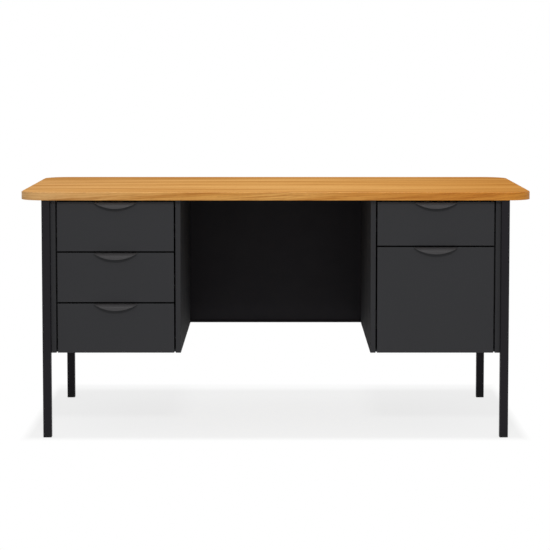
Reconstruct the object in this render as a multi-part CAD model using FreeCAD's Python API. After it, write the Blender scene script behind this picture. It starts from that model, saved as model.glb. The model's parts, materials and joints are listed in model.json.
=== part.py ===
import FreeCAD, Part
import math
import os
from types import SimpleNamespace

# Double-pedestal steel desk with a laminated worktop, in millimetres.
# X runs to the right, Y to the back, Z up; the origin is on the floor under the middle of the worktop.

Vec = FreeCAD.Vector

# Worktop
TOP_WIDTH = 1524.0
TOP_DEPTH = 762.0
TOP_HEIGHT = 737.0
TOP_THICKNESS = 24.0
TOP_CORNER = 75.0
LAMINATE = 0.8
BAND = 3.0
BAND_ROUND = 2.5
GLUE_LINE = 0.1

# Square-tube legs with plastic feet
LEG_SIZE = 25.0
LEG_WALL = 1.5
LEG_ROUND = 3.0
LEG_END_INSET = 65.5
LEG_EDGE_INSET = 8.0
FOOT_HEIGHT = 19.0
PLUG_HEIGHT = 22.0
PLUG_FIT = 0.2

# Folded sheet steel
SHEET = 0.9
BEND = 1.0
SEAM = 0.1

# Pedestal shells
PEDESTAL_WIDTH = 388.0
PEDESTAL_HEIGHT = 458.5
FACE_SETBACK = 12.0
FRONT_FLANGE = 15.5
FRONT_RETURN = 12.0
REAR_FLANGE = 12.0
PAN_WALL = 9.0
PAN_SETBACK = 6.0
TOP_RAIL_WIDTH = 60.0
TOP_RAIL_DROP = 20.0
TOP_RAIL_FRONT_INSET = 56.0
TOP_RAIL_REAR_INSET = 79.5
UPRIGHT_SHEET = 1.2
UPRIGHT_CROWN = 24.0
UPRIGHT_FLANGE = 10.0
UPRIGHT_END_GAP = 1.0
UPRIGHT_FRONT_INSET = 42.0
UPRIGHT_REAR_INSET = 78.0
CROWN_INSET = 0.2

# Back panel between the rear legs
BACK_SETBACK = 7.0
BACK_FLANGE = 26.0
BACK_GAP = 0.5

# Drawers
TOP_GAP = 5.5
REVEAL = 4.5
RIGHT_BOX_HEIGHT = 131.0
FRONT_DEPTH = 16.0
FRONT_LIP = 22.0
TRAY_SHEET = 0.8
TRAY_HEM = 7.0
TRAY_CLEARANCE = 3.0
TRAY_REAR_ROOM = 74.5
BOX_TRAY_DROP = 31.0
FILE_TRAY_DROP = 50.0
HANGER_SHEET = 1.2
HANGER_RISE = 14.0
HANGER_EDGE = 0.5
HANGER_END = 10.0

# Crescent pulls
PULL_WIDTH = 128.0
PULL_DROP = 20.0
PULL_SHEET = 1.5
PULL_BEND = 11.0
PULL_BELLY_BEND = 12.0
PULL_UPPER_SLOPE = 30.0
PULL_LOWER_SLOPE = 12.0
PULL_FLANGE = 11.0
PULL_FACE_GAP = 0.1
POCKET_FIT = 0.5
POCKET_DEPTH_FIT = 1.0
POCKET_FLUSH = 0.2

# Ball-bearing drawer slides
RUN_GAP = 0.3
BALL_RADIUS = 2.1
BALLS_PER_ROW = 3
BALL_END = 12.0
CAGE_SHEET = 0.6
CAGE_FIT = 0.2
CAGE_EDGE = 0.6
CAGE_END = 10.0
CABINET_RAIL_SHEET = 1.2
DRAWER_RAIL_SHEET = 1.0
RAIL_LIP_SHORT = 0.5
BOX_RAIL_HALF = 11.5
FILE_RAIL_HALF = 10.7
SLIDE_SETBACK = 5.0
BOX_SLIDE_REAR = 45.0
FILE_SLIDE_REAR = 5.0
BOX_OVERLAP = 140.0
FILE_OVERLAP = 300.0
BOX_SLIDE_RISE = 45.0
FILE_SLIDE_RISE = 80.0

# Screws that hold the worktop down
SCREW_ACROSS_FLATS = 8.0
SCREW_HEAD_HEIGHT = 4.0
SCREW_SHANK = 2.1
SCREW_LENGTH = 18.0
SCREW_HOLE_FIT = 0.2
SCREW_SPREAD = 240.0

# Places that follow from the driving dimensions
UNDERSIDE = TOP_HEIGHT - TOP_THICKNESS
LEG_OUTER = TOP_WIDTH / 2 - LEG_END_INSET
LEG_INNER = LEG_OUTER - LEG_SIZE
LEG_FACE = TOP_DEPTH / 2 - LEG_EDGE_INSET
LEG_SHOULDER = LEG_FACE - LEG_SIZE

PEDESTAL_HALF = PEDESTAL_WIDTH / 2
PEDESTAL_CENTRE = LEG_INNER - PEDESTAL_HALF
PEDESTAL_BOTTOM = UNDERSIDE - PEDESTAL_HEIGHT
FACE = -LEG_FACE + FACE_SETBACK
BACK_FACE = LEG_FACE - BACK_SETBACK
BACK_FRONT = BACK_FACE - BACK_FLANGE
PEDESTAL_REAR = BACK_FRONT - BACK_GAP
SHELL_INSIDE = PEDESTAL_HALF - SHEET
OPENING_HALF = PEDESTAL_HALF - FRONT_FLANGE
CROWN = OPENING_HALF + CROWN_INSET

FRONT_HALF = OPENING_HALF - REVEAL
TRAY_FRONT = FACE + FRONT_DEPTH
TRAY_REAR = PEDESTAL_REAR - TRAY_REAR_ROOM
TRAY_RISE = PAN_WALL + TRAY_CLEARANCE
SLIDE_FRONT = TRAY_FRONT + SLIDE_SETBACK
BOX_SLIDE_END = TRAY_REAR - BOX_SLIDE_REAR
FILE_SLIDE_END = TRAY_REAR - FILE_SLIDE_REAR

PAN_SIDE = SHELL_INSIDE - SEAM
PAN_REAR = PEDESTAL_REAR - SHEET - BEND
TOP_RAIL_LINES = (FACE + TOP_RAIL_FRONT_INSET, PEDESTAL_REAR - TOP_RAIL_REAR_INSET)
SCREW_OFFSETS = (-SCREW_SPREAD / 2, SCREW_SPREAD / 2)
UPRIGHT_LINES = (SLIDE_FRONT + UPRIGHT_FRONT_INSET, BOX_SLIDE_END - UPRIGHT_REAR_INSET)

PLACES = {
    "XY": lambda u, v, level: Vec(u, v, level),
    "XZ": lambda u, v, level: Vec(u, level, v),
    "YZ": lambda u, v, level: Vec(level, u, v),
}
NORMALS = {"XY": Vec(0, 0, 1), "XZ": Vec(0, 1, 0), "YZ": Vec(1, 0, 0)}

# Below these a distance counts as none, and a turn of a path as straight
TOUCH = 1e-6
STRAIGHT = 1e-9


def outline(corners, plane, level):
    """Closed wire through (u, v, radius) corners, with an arc of that radius at each corner."""
    turns = []
    for index, (u, v, radius) in enumerate(corners):
        here = Vec(u, v, 0)
        before = Vec(corners[index - 1][0], corners[index - 1][1], 0)
        following = corners[(index + 1) % len(corners)]
        after = Vec(following[0], following[1], 0)
        inward = (here - before).normalize()
        outward = (after - here).normalize()
        half_turn = inward.getAngle(outward) / 2
        reach = radius * math.tan(half_turn)
        middle = here
        if radius > 0:
            middle = here + (outward - inward).normalize() * radius * (1 / math.cos(half_turn) - 1)
        turns.append((here - inward * reach, middle, here + outward * reach, radius))
    place = PLACES[plane]
    edges = []
    for index, (start, middle, end, radius) in enumerate(turns):
        leaving = turns[index - 1][2]
        if leaving.distanceToPoint(start) > TOUCH:
            line = Part.LineSegment(place(leaving.x, leaving.y, level), place(start.x, start.y, level))
            edges.append(line.toShape())
        if radius > 0:
            points = [place(point.x, point.y, level) for point in (start, middle, end)]
            edges.append(Part.Arc(*points).toShape())
    return Part.Wire(edges)


def prism(corners, plane, level, length):
    """Rounded outline pushed straight along the plane's normal."""
    return Part.Face(outline(corners, plane, level)).extrude(NORMALS[plane] * length)


def rectangle(u_half, v_half, radius):
    """Corners of a centred rectangle with equal corner rounds."""
    signs = ((1, 1), (-1, 1), (-1, -1), (1, -1))
    return [(u_sign * u_half, v_sign * v_half, radius) for u_sign, v_sign in signs]


def strip(path, thickness, bend):
    """Corners of a folded sheet's section: the path is one face, and the sheet lies to the left of it."""
    face = []
    back = []
    last = len(path) - 1
    for index, (u, v) in enumerate(path):
        here = Vec(u, v, 0)
        inward = (here - Vec(*path[index - 1], 0)) if index > 0 else (Vec(*path[1], 0) - here)
        outward = (Vec(*path[index + 1], 0) - here) if index < last else inward
        inward = Vec(inward).normalize()
        outward = Vec(outward).normalize()
        cross = inward.x * outward.y - inward.y * outward.x
        half_turn = inward.getAngle(outward) / 2
        bisector = Vec(-inward.y - outward.y, inward.x + outward.x, 0).normalize()
        behind = here + bisector * (thickness / math.cos(half_turn))
        inside = bend if abs(cross) > STRAIGHT else 0.0
        outside = bend + thickness if inside > 0 else 0.0
        face.append((u, v, outside if cross > 0 else inside))
        back.append((behind.x, behind.y, inside if cross > 0 else outside))
    return face + back[::-1]


def block(low, high):
    """Box between two corners."""
    size = Vec(*high) - Vec(*low)
    return Part.makeBox(size.x, size.y, size.z, Vec(*low))


def edges_at(shape, axis, at):
    """Edges of a shape that lie in the plane square to an axis at one value."""
    found = []
    for edge in shape.Edges:
        if all(abs(vertex.Point[axis] - at) < TOUCH for vertex in edge.Vertexes):
            found.append(edge)
    return found


def pan(low, high, axis, side, sheet, fold, lip):
    """Folded sheet tray, open on one side: its outer block, its hollow and the mouth inside its lip.

    The folds are sharp inside and have the fold radius outside.
    """
    open_at = high[axis] if side > 0 else low[axis]
    closed_at = low[axis] if side > 0 else high[axis]
    outer = block(low, high)
    hollow = block([value + sheet for value in low], [value - sheet for value in high])
    if fold > 0:
        outer = outer.makeFillet(fold, edges_at(outer, axis, closed_at))
    mouth_low = [value + lip for value in low]
    mouth_high = [value - lip for value in high]
    mouth_low[axis] = min(open_at - 2 * side * sheet, open_at + side * sheet)
    mouth_high[axis] = max(open_at - 2 * side * sheet, open_at + side * sheet)
    return outer, hollow, block(mouth_low, mouth_high)


def mirrored(shape):
    """Copy on the other side of the YZ plane."""
    return shape.mirror(Vec(0, 0, 0), Vec(1, 0, 0))


def moved(shape, x, y, z):
    """Copy shifted by a distance along each axis."""
    return shape.translated(Vec(x, y, z))


def both_sides(shape):
    """A piece and its mirror image, as one group of separate solids."""
    return Part.makeCompound([shape, mirrored(shape)])


def screw():
    """Hex-head screw that points up, with the underside of its head at zero."""
    corner = SCREW_ACROSS_FLATS / math.sqrt(3)
    turns = [math.radians(60 * number) for number in range(6)]
    hexagon = [(corner * math.cos(turn), corner * math.sin(turn), 0) for turn in turns]
    head = prism(hexagon, "XY", -SCREW_HEAD_HEIGHT, SCREW_HEAD_HEIGHT)
    return head.fuse(Part.makeCylinder(SCREW_SHANK, SCREW_LENGTH)).removeSplitter()


def worktop():
    """Particle-board core under a laminate skin, over a backer, inside a wood edge band."""
    core_x = TOP_WIDTH / 2 - BAND - GLUE_LINE
    core_y = TOP_DEPTH / 2 - BAND - GLUE_LINE
    panel = rectangle(core_x, core_y, TOP_CORNER - BAND - GLUE_LINE)
    rim = prism(rectangle(TOP_WIDTH / 2, TOP_DEPTH / 2, TOP_CORNER), "XY", UNDERSIDE, TOP_THICKNESS)
    rim = rim.makeFillet(min(BAND_ROUND, 0.9 * BAND), edges_at(rim, 2, TOP_HEIGHT))
    seat = rectangle(TOP_WIDTH / 2 - BAND, TOP_DEPTH / 2 - BAND, TOP_CORNER - BAND)
    return {
        "top_core": prism(panel, "XY", UNDERSIDE + LAMINATE, TOP_THICKNESS - 2 * LAMINATE),
        "top_laminate": prism(panel, "XY", TOP_HEIGHT - LAMINATE, LAMINATE),
        "top_backer": prism(panel, "XY", UNDERSIDE, LAMINATE),
        "top_edge_band": rim.cut(prism(seat, "XY", UNDERSIDE, TOP_THICKNESS)),
    }


def tube(plane, level, length):
    """Square tube with rounded outer corners, centred on its axis."""
    outer = prism(rectangle(LEG_SIZE / 2, LEG_SIZE / 2, LEG_ROUND), plane, level, length)
    bore_half = LEG_SIZE / 2 - LEG_WALL
    return outer.cut(prism(rectangle(bore_half, bore_half, 0), plane, level, length))


def foot():
    """Plastic cap under a leg, with a plug that slides into the tube."""
    cap = prism(rectangle(LEG_SIZE / 2, LEG_SIZE / 2, LEG_ROUND), "XY", 0, FOOT_HEIGHT)
    plug_half = LEG_SIZE / 2 - LEG_WALL - PLUG_FIT
    plug = prism(rectangle(plug_half, plug_half, 0), "XY", FOOT_HEIGHT, PLUG_HEIGHT)
    return cap.fuse(plug).removeSplitter()


def leg_frame():
    """Four legs on plastic feet, and a rail between each pair of legs under the ends of the top."""
    leg = tube("XY", FOOT_HEIGHT, UNDERSIDE - FOOT_HEIGHT)
    rail = tube("XZ", -LEG_SHOULDER, 2 * LEG_SHOULDER)
    cap = foot()
    x = LEG_OUTER - LEG_SIZE / 2
    y = LEG_FACE - LEG_SIZE / 2
    pieces = {}
    feet = []
    for side_name, side in (("left", -x), ("right", x)):
        for end_name, end in (("front", -y), ("rear", y)):
            pieces[end_name + "_" + side_name + "_leg"] = moved(leg, side, end, 0)
            feet.append(moved(cap, side, end, 0))
        pieces[side_name + "_end_rail"] = moved(rail, side, 0, UNDERSIDE - LEG_SIZE / 2)
    pieces["leg_feet"] = Part.makeCompound(feet)
    return pieces


def back_panel():
    """Full-width steel panel welded between the rear legs, flanged forward on all four sides."""
    low = (-LEG_INNER + SEAM, BACK_FRONT, PEDESTAL_BOTTOM)
    high = (LEG_INNER - SEAM, BACK_FACE, UNDERSIDE)
    outer, hollow, mouth = pan(low, high, 1, -1, sheet=SHEET, fold=SHEET, lip=SHEET)
    return {"back_panel": outer.cut(hollow).cut(mouth)}


def shell_side():
    """Right-hand side of a pedestal: front flange with a return, flat side, and a rear flange."""
    path = [
        (OPENING_HALF, FACE + FRONT_RETURN),
        (OPENING_HALF, FACE),
        (PEDESTAL_HALF, FACE),
        (PEDESTAL_HALF, PEDESTAL_REAR),
        (PEDESTAL_HALF - REAR_FLANGE, PEDESTAL_REAR),
    ]
    return prism(strip(path, SHEET, BEND), "XY", PEDESTAL_BOTTOM, PEDESTAL_HEIGHT)


def shell_back():
    """Rear sheet of a pedestal, with flanges forward along both sides, standing in the bottom pan."""
    half = PAN_SIDE - SHEET - SEAM
    rear = PAN_REAR - SHEET - SEAM
    path = [(half, rear - REAR_FLANGE), (half, rear), (-half, rear), (-half, rear - REAR_FLANGE)]
    level = PEDESTAL_BOTTOM + SHEET
    return prism(strip(path, SHEET, 0), "XY", level, UNDERSIDE - level)


def shell_bottom():
    """Bottom pan with low walls all round, set back behind the drawer fronts."""
    low = (-PAN_SIDE, TRAY_FRONT + PAN_SETBACK, PEDESTAL_BOTTOM)
    high = (PAN_SIDE, PAN_REAR, PEDESTAL_BOTTOM + PAN_WALL)
    outer, hollow, mouth = pan(low, high, 2, 1, sheet=SHEET, fold=0, lip=SHEET)
    return outer.cut(hollow).cut(mouth)


def top_rails():
    """Two channels across the top of a pedestal, screwed up into the worktop."""
    rails = []
    for line in TOP_RAIL_LINES:
        front = line - TOP_RAIL_WIDTH / 2
        rear = line + TOP_RAIL_WIDTH / 2
        low = UNDERSIDE - TOP_RAIL_DROP
        path = [(rear, low), (rear, UNDERSIDE), (front, UNDERSIDE), (front, low)]
        rail = prism(strip(path, SHEET, 0), "YZ", -PAN_SIDE, 2 * PAN_SIDE)
        for x in SCREW_OFFSETS:
            hole = Part.makeCylinder(SCREW_SHANK + SCREW_HOLE_FIT, SHEET, Vec(x, line, UNDERSIDE - SHEET))
            rail = rail.cut(hole)
        rails.append(rail)
    return Part.makeCompound(rails)


def uprights():
    """Four hat-section uprights that carry the drawer slides, welded inside the pedestal's sides."""
    low = PEDESTAL_BOTTOM + PAN_WALL + UPRIGHT_END_GAP
    high = UNDERSIDE - TOP_RAIL_DROP - UPRIGHT_END_GAP
    hats = []
    for line in UPRIGHT_LINES:
        front = line - UPRIGHT_CROWN / 2
        rear = line + UPRIGHT_CROWN / 2
        crest = CROWN + UPRIGHT_SHEET
        path = [
            (SHELL_INSIDE, front - UPRIGHT_FLANGE),
            (SHELL_INSIDE, front + UPRIGHT_SHEET),
            (crest, front + UPRIGHT_SHEET),
            (crest, rear - UPRIGHT_SHEET),
            (SHELL_INSIDE, rear - UPRIGHT_SHEET),
            (SHELL_INSIDE, rear + UPRIGHT_FLANGE),
        ]
        hat = prism(strip(path, UPRIGHT_SHEET, 0), "XY", low, high - low)
        hats.extend([hat, mirrored(hat)])
    return Part.makeCompound(hats)


def pedestals():
    """The fixed sheet-metal pieces of both pedestals."""
    pieces = {
        "outer_side": shell_side(),
        "inner_side": mirrored(shell_side()),
        "back": shell_back(),
        "bottom": shell_bottom(),
        "top_rails": top_rails(),
        "uprights": uprights(),
    }
    shells = {}
    for name, piece in pieces.items():
        right = moved(piece, PEDESTAL_CENTRE, 0, 0)
        shells["right_pedestal_" + name] = right
        shells["left_pedestal_" + name] = mirrored(right)
    return shells


def drawer_front(top, bottom):
    """Hollow steel drawer front with turned-in lips behind and a pocket for the pull in its top edge."""
    low = (-FRONT_HALF, FACE, bottom)
    high = (FRONT_HALF, TRAY_FRONT, top)
    outer, hollow, mouth = pan(low, high, 1, 1, sheet=SHEET, fold=SHEET, lip=FRONT_LIP)
    pocket_half = PULL_WIDTH / 2 + POCKET_FIT
    pocket_rear = FACE + PULL_FLANGE + POCKET_DEPTH_FIT
    pocket_floor = top - PULL_SHEET - POCKET_FLUSH
    pocket = block((-pocket_half, FACE - SHEET, pocket_floor), (pocket_half, pocket_rear, top + SHEET))
    lining_low = (-pocket_half - SHEET, FACE - SHEET, pocket_floor - SHEET)
    lining_high = (pocket_half + SHEET, pocket_rear + SHEET, top + SHEET)
    return outer.cut(hollow.cut(block(lining_low, lining_high))).cut(mouth).cut(pocket)


def drawer_pull(top):
    """Crescent pull bent from one strip: a flange in the pocket, and a lip that fingers reach under."""
    flange_top = top - POCKET_FLUSH
    upper = math.radians(PULL_UPPER_SLOPE)
    lower = math.radians(PULL_LOWER_SLOPE)
    bend_reach = (PULL_BEND + PULL_SHEET) * math.tan((math.pi / 2 - upper) / 2)
    corner = FACE - PULL_FACE_GAP - bend_reach
    half_drop = PULL_DROP / 2
    belly = corner - half_drop * math.tan(upper)
    rim = belly - half_drop * math.tan(lower)
    path = [
        (FACE + PULL_FLANGE, flange_top),
        (corner, flange_top),
        (belly, flange_top - half_drop),
        (rim, flange_top - PULL_DROP),
    ]
    section = strip(path, PULL_SHEET, PULL_BEND)
    belly_outside = (path[2][0], path[2][1], PULL_BELLY_BEND + PULL_SHEET)
    belly_inside = (section[5][0], section[5][1], PULL_BELLY_BEND)
    section[2] = belly_outside
    section[5] = belly_inside
    bent = prism(section, "YZ", -PULL_WIDTH / 2, PULL_WIDTH)
    crescent = PULL_DROP - PULL_SHEET
    radius = ((PULL_WIDTH / 2) ** 2 + crescent ** 2) / (2 * crescent)
    centre = flange_top - PULL_DROP + radius
    start = FACE - 2 * PULL_DROP
    trim = Part.makeCylinder(radius, PULL_FLANGE + 3 * PULL_DROP, Vec(0, start, centre), Vec(0, 1, 0))
    return bent.common(trim)


def drawer_tray(half, top, bottom):
    """Drawer body: sides and bottom folded from one sheet, and two hemmed end sheets welded between them."""
    inner = half - TRAY_HEM
    wrap_path = [(-inner, top), (-half, top), (-half, bottom), (half, bottom), (half, top), (inner, top)]
    wrap = prism(strip(wrap_path, TRAY_SHEET, 0), "XZ", TRAY_FRONT, TRAY_REAR - TRAY_FRONT)
    low = bottom + TRAY_SHEET
    high = top - TRAY_SHEET
    front_path = [(TRAY_FRONT + TRAY_HEM, high), (TRAY_FRONT, high), (TRAY_FRONT, low)]
    rear_path = [(TRAY_REAR, low), (TRAY_REAR, high), (TRAY_REAR - TRAY_HEM, high)]
    reach = half - TRAY_SHEET - SEAM
    sheets = [wrap]
    for end_path in (front_path, rear_path):
        sheets.append(prism(strip(end_path, TRAY_SHEET, 0), "YZ", -reach, 2 * reach))
    return Part.makeCompound(sheets)


def hanging_rails(half, top):
    """Angle strips on the tray's side hems that hanging folders hook over."""
    inner = half - TRAY_HEM
    path = [(inner, top + HANGER_RISE), (inner, top), (half - HANGER_EDGE, top)]
    start = TRAY_FRONT + HANGER_END
    rail = prism(strip(path, HANGER_SHEET, 0), "XZ", start, TRAY_REAR - HANGER_END - start)
    return both_sides(rail)


def slide_stage(web, sheet, inner_half):
    """Places of the balls and cage between an outer rail and the rail inside it.

    Depths run from the upright towards the drawer, and heights from the middle of the slide.
    """
    cage_web = web + sheet + RUN_GAP
    cage_room = CAGE_EDGE + CAGE_FIT + BALL_RADIUS
    ball_depth = cage_web + CAGE_SHEET + cage_room
    cage_tip = ball_depth + cage_room
    ball_height = inner_half + RUN_GAP + BALL_RADIUS
    return SimpleNamespace(
        web=web,
        sheet=sheet,
        cage_web=cage_web,
        cage_tip=cage_tip,
        ball_depth=ball_depth,
        ball_height=ball_height,
        lip=cage_tip + RUN_GAP + sheet,
        half=ball_height + BALL_RADIUS + RUN_GAP + sheet,
        inner_web=cage_web + CAGE_SHEET + RUN_GAP,
        inner_half=inner_half,
    )


# The file drawer's slide has a middle rail, and it sets the side space of every slide.
box_stage = slide_stage(0, CABINET_RAIL_SHEET, BOX_RAIL_HALF)
file_middle_web = slide_stage(0, CABINET_RAIL_SHEET, FILE_RAIL_HALF).inner_web
file_inner_stage = slide_stage(file_middle_web, DRAWER_RAIL_SHEET, FILE_RAIL_HALF)
file_outer_stage = slide_stage(0, CABINET_RAIL_SHEET, file_inner_stage.half)
SLIDE_SPACE = file_inner_stage.lip + RUN_GAP + DRAWER_RAIL_SHEET
TRAY_HALF = CROWN - SLIDE_SPACE


def slide_section(path, sheet, level, front, length):
    """Rail or cage on the right of a drawer, folded along a path of (depth, height) points."""
    placed = [(CROWN - depth, level - height) for depth, height in path]
    return prism(strip(placed, sheet, 0), "XZ", front, length)


def outer_rail(stage, level, front, length):
    """Channel rail whose lips keep the ball rows in."""
    lip_end = stage.ball_height - RAIL_LIP_SHORT
    path = [
        (stage.lip, lip_end),
        (stage.lip, stage.half),
        (stage.web, stage.half),
        (stage.web, -stage.half),
        (stage.lip, -stage.half),
        (stage.lip, -lip_end),
    ]
    return both_sides(slide_section(path, stage.sheet, level, front, length))


def drawer_rail(stage, level, front, length):
    """Channel rail on the side of the tray, running inside the ball rows."""
    path = [
        (stage.inner_web, -stage.inner_half),
        (SLIDE_SPACE, -stage.inner_half),
        (SLIDE_SPACE, stage.inner_half),
        (stage.inner_web, stage.inner_half),
    ]
    return both_sides(slide_section(path, DRAWER_RAIL_SHEET, level, front, length))


def ball_cage(stage, level, front, length):
    """Ball retainer: a thin channel whose flanges have a window for each ball of the two rows."""
    flange = stage.ball_height + CAGE_SHEET / 2
    path = [
        (stage.cage_tip, flange),
        (stage.cage_web, flange),
        (stage.cage_web, -flange),
        (stage.cage_tip, -flange),
    ]
    cage = slide_section(path, CAGE_SHEET, level, front, length)
    window = BALL_RADIUS + CAGE_FIT
    half_size = Vec(window, window, stage.half)
    pitch = (length - 2 * BALL_END) / (BALLS_PER_ROW - 1)
    for number in range(BALLS_PER_ROW):
        place = Vec(CROWN - stage.ball_depth, front + BALL_END + number * pitch, level)
        cage = cage.cut(block(place - half_size, place + half_size))
    return both_sides(cage)


def box_slide(name, level):
    """Two-rail ball slide on each side of a box drawer."""
    length = BOX_SLIDE_END - SLIDE_FRONT
    cage = BOX_OVERLAP - 2 * CAGE_END
    cage_front = SLIDE_FRONT + (length - cage) / 2
    return {
        name + "_cabinet_rails": outer_rail(box_stage, level, SLIDE_FRONT, length),
        name + "_drawer_rails": drawer_rail(box_stage, level, SLIDE_FRONT, length),
        name + "_ball_cages": ball_cage(box_stage, level, cage_front, cage),
    }


def file_slide(name, level):
    """Full-extension ball slide with a middle rail on each side of the file drawer."""
    length = FILE_SLIDE_END - SLIDE_FRONT
    cage = FILE_OVERLAP - 2 * CAGE_END
    cage_front = SLIDE_FRONT + (length - cage) / 2
    return {
        name + "_cabinet_rails": outer_rail(file_outer_stage, level, SLIDE_FRONT, length),
        name + "_middle_rails": outer_rail(file_inner_stage, level, SLIDE_FRONT, length),
        name + "_drawer_rails": drawer_rail(file_inner_stage, level, SLIDE_FRONT, length),
        name + "_outer_cages": ball_cage(file_outer_stage, level, cage_front, cage),
        name + "_inner_cages": ball_cage(file_inner_stage, level, cage_front, cage),
    }


def drawer(name, centre, top, bottom, is_file):
    """One drawer: front, pull, tray and slides, moved to its pedestal."""
    tray_bottom = bottom + TRAY_RISE
    tray_top = top - (FILE_TRAY_DROP if is_file else BOX_TRAY_DROP)
    pieces = {
        name + "_drawer_front": drawer_front(top, bottom),
        name + "_drawer_pull": drawer_pull(top),
        name + "_drawer_body": drawer_tray(TRAY_HALF, tray_top, tray_bottom),
    }
    if is_file:
        pieces[name + "_hanging_rails"] = hanging_rails(TRAY_HALF, tray_top)
        pieces.update(file_slide(name, tray_bottom + FILE_SLIDE_RISE))
    else:
        pieces.update(box_slide(name, tray_bottom + BOX_SLIDE_RISE))
    return {key: moved(piece, centre, 0, 0) for key, piece in pieces.items()}


def drawers():
    """Three equal box drawers on the left; a box drawer over a file drawer on the right."""
    stack_top = UNDERSIDE - TOP_GAP
    pieces = {}
    names = ("left_upper", "left_middle", "left_lower")
    height = (stack_top - PEDESTAL_BOTTOM - REVEAL * (len(names) - 1)) / len(names)
    for row, name in enumerate(names):
        top = stack_top - row * (height + REVEAL)
        pieces.update(drawer(name, -PEDESTAL_CENTRE, top, top - height, False))
    split = stack_top - RIGHT_BOX_HEIGHT
    pieces.update(drawer("right_box", PEDESTAL_CENTRE, stack_top, split, False))
    pieces.update(drawer("right_file", PEDESTAL_CENTRE, split - REVEAL, PEDESTAL_BOTTOM, True))
    return pieces


def fasteners():
    """Screws through the pedestals' top rails into the worktop."""
    wood_screw = screw()
    screws = []
    for pedestal_x in (-PEDESTAL_CENTRE, PEDESTAL_CENTRE):
        for line in TOP_RAIL_LINES:
            for x in SCREW_OFFSETS:
                screws.append(moved(wood_screw, pedestal_x + x, line, UNDERSIDE - SHEET))
    return {"top_screws": Part.makeCompound(screws)}


nodes = {}
for sub_assembly in (worktop, leg_frame, back_panel, pedestals, drawers, fasteners):
    nodes.update(sub_assembly())

os.makedirs("parts", exist_ok=True)
for node_name, node_shape in nodes.items():
    node_shape.exportStep("parts/" + node_name + ".step")
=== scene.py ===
import json
import math

import bmesh
import bpy
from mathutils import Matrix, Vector


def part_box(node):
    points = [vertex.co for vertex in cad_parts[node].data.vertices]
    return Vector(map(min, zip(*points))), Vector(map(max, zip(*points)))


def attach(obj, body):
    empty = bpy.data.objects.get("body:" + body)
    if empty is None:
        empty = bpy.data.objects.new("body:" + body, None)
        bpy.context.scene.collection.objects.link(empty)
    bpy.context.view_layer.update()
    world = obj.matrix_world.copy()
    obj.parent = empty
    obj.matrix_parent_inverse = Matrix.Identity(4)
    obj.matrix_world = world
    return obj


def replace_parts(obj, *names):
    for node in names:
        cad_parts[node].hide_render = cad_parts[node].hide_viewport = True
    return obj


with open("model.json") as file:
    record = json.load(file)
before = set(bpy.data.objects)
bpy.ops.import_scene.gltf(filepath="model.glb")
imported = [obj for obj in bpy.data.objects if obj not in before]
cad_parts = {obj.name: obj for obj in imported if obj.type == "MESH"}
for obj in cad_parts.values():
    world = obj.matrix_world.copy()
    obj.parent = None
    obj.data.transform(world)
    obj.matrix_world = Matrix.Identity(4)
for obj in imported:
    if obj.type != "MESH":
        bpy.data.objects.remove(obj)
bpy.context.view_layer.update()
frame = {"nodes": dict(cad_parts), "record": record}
scene = bpy.context.scene

# The desk stands on the floor with its drawers towards -Y. Lengths are in metres.
BOX_DRAWERS = ("left_upper", "left_middle", "left_lower", "right_box")
FILE_DRAWER = "right_file"
DRAWERS = BOX_DRAWERS + (FILE_DRAWER,)
LEGS = ("front_left_leg", "front_right_leg", "rear_left_leg", "rear_right_leg")

# Edge band: its thickness, the rounds of its upper and lower arris, and the worktop's corners
BAND = 0.003
BAND_TOP_ROUND = 0.0025
BAND_TOP_STEPS = 8
BAND_FOOT_ROUND = 0.0008
BAND_FOOT_STEPS = 4
BAND_LEAN = math.radians(-3)
TOP_CORNER = 0.075
TOP_CORNER_STEPS = 24

# Crescent pulls, each bent from one strip that goes from a flange over the belly to the rim
PULL_SHEET = 0.0015
PULL_FLANGE = 0.011
PULL_BEND = 0.0125
PULL_BEND_STEPS = 12
PULL_BELLY = 0.0135
PULL_BELLY_STEPS = 6
PULL_UPPER_SLOPE = math.radians(30)
PULL_LOWER_SLOPE = math.radians(12)
PULL_COLUMNS = 48
PULL_ROWS = 30
PULL_EDGE_ROUND = 0.0004
PULL_EDGE_STEPS = 3
PULL_CRISP_ANGLE = math.radians(50)

# Foot caps of the legs: corners, the edge at the floor and the seam with the tube
FOOT_CORNER = 0.003
FOOT_CORNER_STEPS = 6
FOOT_EDGE = 0.0009
FOOT_EDGE_STEPS = 4
FOOT_SEAM = 0.0005
FOOT_SEAM_STEPS = 3

# Sharper edges than this stay crisp on the edge band and the foot caps
CRISP_ANGLE = math.radians(40)

# Balls of the drawer slides, placed from the box of their cage
BALL_RADIUS = 0.0021
BALL_INSET = 0.0035
BALL_FLANGE = 0.0003
BALL_END = 0.012
BALLS_PER_ROW = 3

# Rivets that hold the drawer rails and the hanging rails to the drawer bodies
RIVET_RADIUS = 0.0022
RIVET_HEIGHT = 0.0009
RIVET_END = 0.030
RIVETS_PER_RAIL = 5
TRAY_SHEET = 0.0008
HANGER_SHEET = 0.0012
HANGER_LEDGE = 0.0030

# Facets of one ball or rivet head
STUD_SEGMENTS = 24
STUD_RINGS = 12

# Oak: waves to the metre in the wander of its grain, where along X the tint towards each end of the desk
# begins and is full, and how far the laminate is turned away where its reflection fades and is gone
GRAIN_WANDER = (1.2, 2.4, 2.4)
LEFT_TINT_RUN = (-0.2, -0.72)
RIGHT_TINT_RUN = (0.0, 0.70)
GLOSS_FADE = (0.5, 0.88)

# Powder coat: width of its peel, share of its drift in tone, and width and share of the rubbed edges
PEEL_WIDTH = 0.0011
PAINT_DRIFT = 0.10
RUB_WIDTH = 0.0016
RUB_AMOUNT = 0.3

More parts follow.
